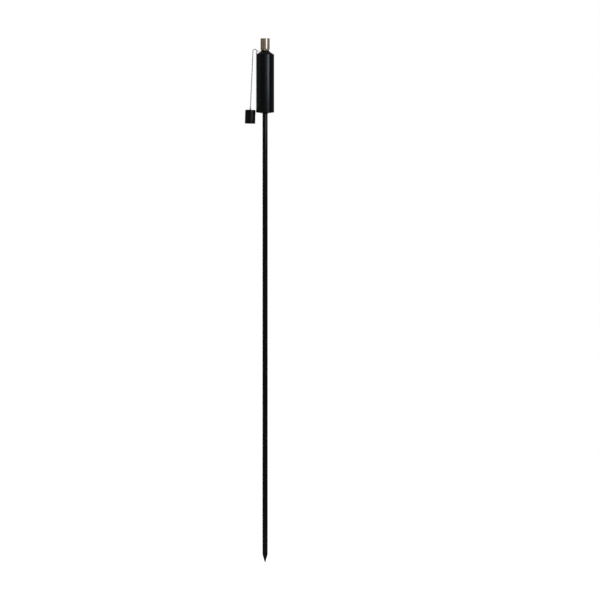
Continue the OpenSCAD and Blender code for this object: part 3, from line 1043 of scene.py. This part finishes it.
def makeCapEye():
    shank, height = cap["shank"], cap["eyeHeight"]
    under = -cap["sheet"] - cap["washer"]
    collar = height - anchor["eye"] - anchor["wire"] * 0.5
    outline = softened([
        corner(0, collar), corner(1.3 * mm, collar, 0.4 * mm), corner(shank + 1 * mm, collar - 0.75 * mm, 0.3 * mm),
        corner(shank + 1 * mm, 0, 0.1 * mm), corner(shank, 0), corner(shank, under),
        corner(shank + 0.6 * mm, under, 0.1 * mm), corner(shank + 0.6 * mm, under - cap["washer"], 0.6 * mm),
        corner(0, under - cap["washer"]),
    ])
    ring = wire("ring", circlePath(zWay * height, anchor["eye"], xWay, zWay), anchor["wire"], True)
    return fit(onCap(merged("cap_ring", [turned("rivet", outline, 32), ring])), "cap_eye")


def makeWasher():
    top = -cap["sheet"]
    low = top - cap["washer"]
    hole, outer = cap["shank"], 2.5 * cap["shank"]
    outline = softened([
        corner(hole, low, 0.1 * mm), corner(outer, low, 0.25 * mm),
        corner(outer, top, 0.2 * mm), corner(hole, top, 0.1 * mm),
    ])
    return fit(onCap(turned("washer", outline, 64)), "cap_washer")


makeCap()
makeCapEye()
makeWasher()
print("snuffer made")


# Studio

studio = {
    "floor": 60.0,
    "floorGrid": 24,
    "floorGlow": 0.90,                      # for the camera alone, so that the floor's far edge doesn't show
    "ambient": (0.15, 0.15, 0.153),
    "keyAzimuth": math.radians(41.5),       # to the right of the camera, seen from the torch
    "keyDistance": 1.75,
    "keyHeight": 1.83,
    "keySize": (0.80, 1.25),
    "keyPower": 17.0,
    "keyColour": (0.80, 0.89, 1.0),
    "fillAzimuth": math.radians(10),
    "fillSize": (0.35, 1.3),
    "fillPower": 1.1,
    "edgeAzimuth": math.radians(-74),       # a thin streak down the left of the cup
    "edgeSize": (0.14, 1.4),
    "edgePower": 0.5,
    "rimAzimuth": math.radians(-148),       # behind, so that the back isn't a plain silhouette
    "rimSize": (0.45, 1.9),
    "rimHeight": 1.0,
    "rimPower": 5.0,
    "rimColour": (1.0, 0.98, 0.95),
    "flagAzimuth": math.radians(67),        # black card beside the key, for the dark band next to the highlight
    "flagSize": (0.62, 1.9),
}


def makeFloor():
    mesh = bmesh.new()
    side, grid, level = studio["floor"], studio["floorGrid"], bottomOf("spike_tip")
    steps = [-side / 2 + side * k / grid for k in range(grid + 1)]
    rows = [[mesh.verts.new((x, y, level)) for x in steps] for y in steps]
    for j in range(grid):
        for i in range(grid):
            mesh.faces.new((rows[j][i], rows[j][i + 1], rows[j + 1][i + 1], rows[j + 1][i]))
    floor = meshObject("floor", mesh)
    material, tree, shader = newMaterial("pale floor", Roughness=0.9, Specular_IOR_Level=0.1)
    speckle = rangeNode(tree, noiseNode(tree, placeNode(tree), 30.0), 0.3, 0.7)
    tree.links.new(mixColours(tree, speckle, (0.80, 0.80, 0.80), (0.84, 0.84, 0.83)), shader.inputs["Base Color"])
    shader.inputs["Emission Color"].default_value = (1, 1, 1, 1)
    seen = tree.nodes.new("ShaderNodeLightPath").outputs["Is Camera Ray"]
    tree.links.new(mathNode(tree, "MULTIPLY", seen, studio["floorGlow"]), shader.inputs["Emission Strength"])
    floor.data.materials.append(material)


def addLight(name, azimuth, distance, height, size, power, colour):
    light = bpy.data.lights.new(name, "AREA")
    light.shape = "RECTANGLE"
    light.size, light.size_y = size
    light.energy = power
    light.color = colour
    lamp = bpy.data.objects.new(name, light)
    lamp.location = (distance * math.sin(azimuth), -distance * math.cos(azimuth), height)
    lamp.rotation_euler = (math.radians(90), 0, azimuth)
    lamp.visible_camera = False
    bpy.context.collection.objects.link(lamp)


def addFlag():
    azimuth, distance = studio["flagAzimuth"], studio["keyDistance"]
    centre = Vector((distance * math.sin(azimuth), -distance * math.cos(azimuth), studio["keyHeight"]))
    across = Vector((math.cos(azimuth), math.sin(azimuth), 0)) * studio["flagSize"][0] / 2
    up = Vector((0, 0, studio["flagSize"][1] / 2))
    mesh = bmesh.new()
    mesh.faces.new([mesh.verts.new(centre + across * a + up * b) for a, b in ((-1, -1), (1, -1), (1, 1), (-1, 1))])
    flag = meshObject("flag", mesh)
    material, tree, shader = newMaterial("black card", Roughness=1.0, Specular_IOR_Level=0.0)
    felt = noiseNode(tree, placeNode(tree), 200.0)
    tree.links.new(mixColours(tree, felt, (0.002, 0.002, 0.002), (0.005, 0.005, 0.005)), shader.inputs["Base Color"])
    flag.data.materials.append(material)
    flag.visible_camera = False
    flag.visible_shadow = False


# White behind the torch for the camera, and an even grey for everything else
def makeWorld():
    world = bpy.data.worlds.new("studio")
    world.use_nodes = True
    tree = world.node_tree
    tree.nodes.clear()
    seen = tree.nodes.new("ShaderNodeLightPath").outputs["Is Camera Ray"]
    colour = mixColours(tree, seen, studio["ambient"], (1.0, 1.0, 1.0))
    background = tree.nodes.new("ShaderNodeBackground")
    tree.links.new(colour, background.inputs["Color"])
    tree.links.new(background.outputs[0], tree.nodes.new("ShaderNodeOutputWorld").inputs["Surface"])
    bpy.context.scene.world = world


makeFloor()
makeWorld()
addFlag()
addLight("key", studio["keyAzimuth"], studio["keyDistance"], studio["keyHeight"], studio["keySize"],
         studio["keyPower"], studio["keyColour"])
addLight("fill", studio["fillAzimuth"], studio["keyDistance"], studio["keyHeight"], studio["fillSize"],
         studio["fillPower"], studio["keyColour"])
addLight("edge", studio["edgeAzimuth"], studio["keyDistance"], studio["keyHeight"], studio["edgeSize"],
         studio["edgePower"], studio["rimColour"])
addLight("rim", studio["rimAzimuth"], studio["keyDistance"], studio["rimHeight"], studio["rimSize"],
         studio["rimPower"], studio["rimColour"])
bpy.context.scene.view_settings.view_transform = "Standard"
print("studio made")
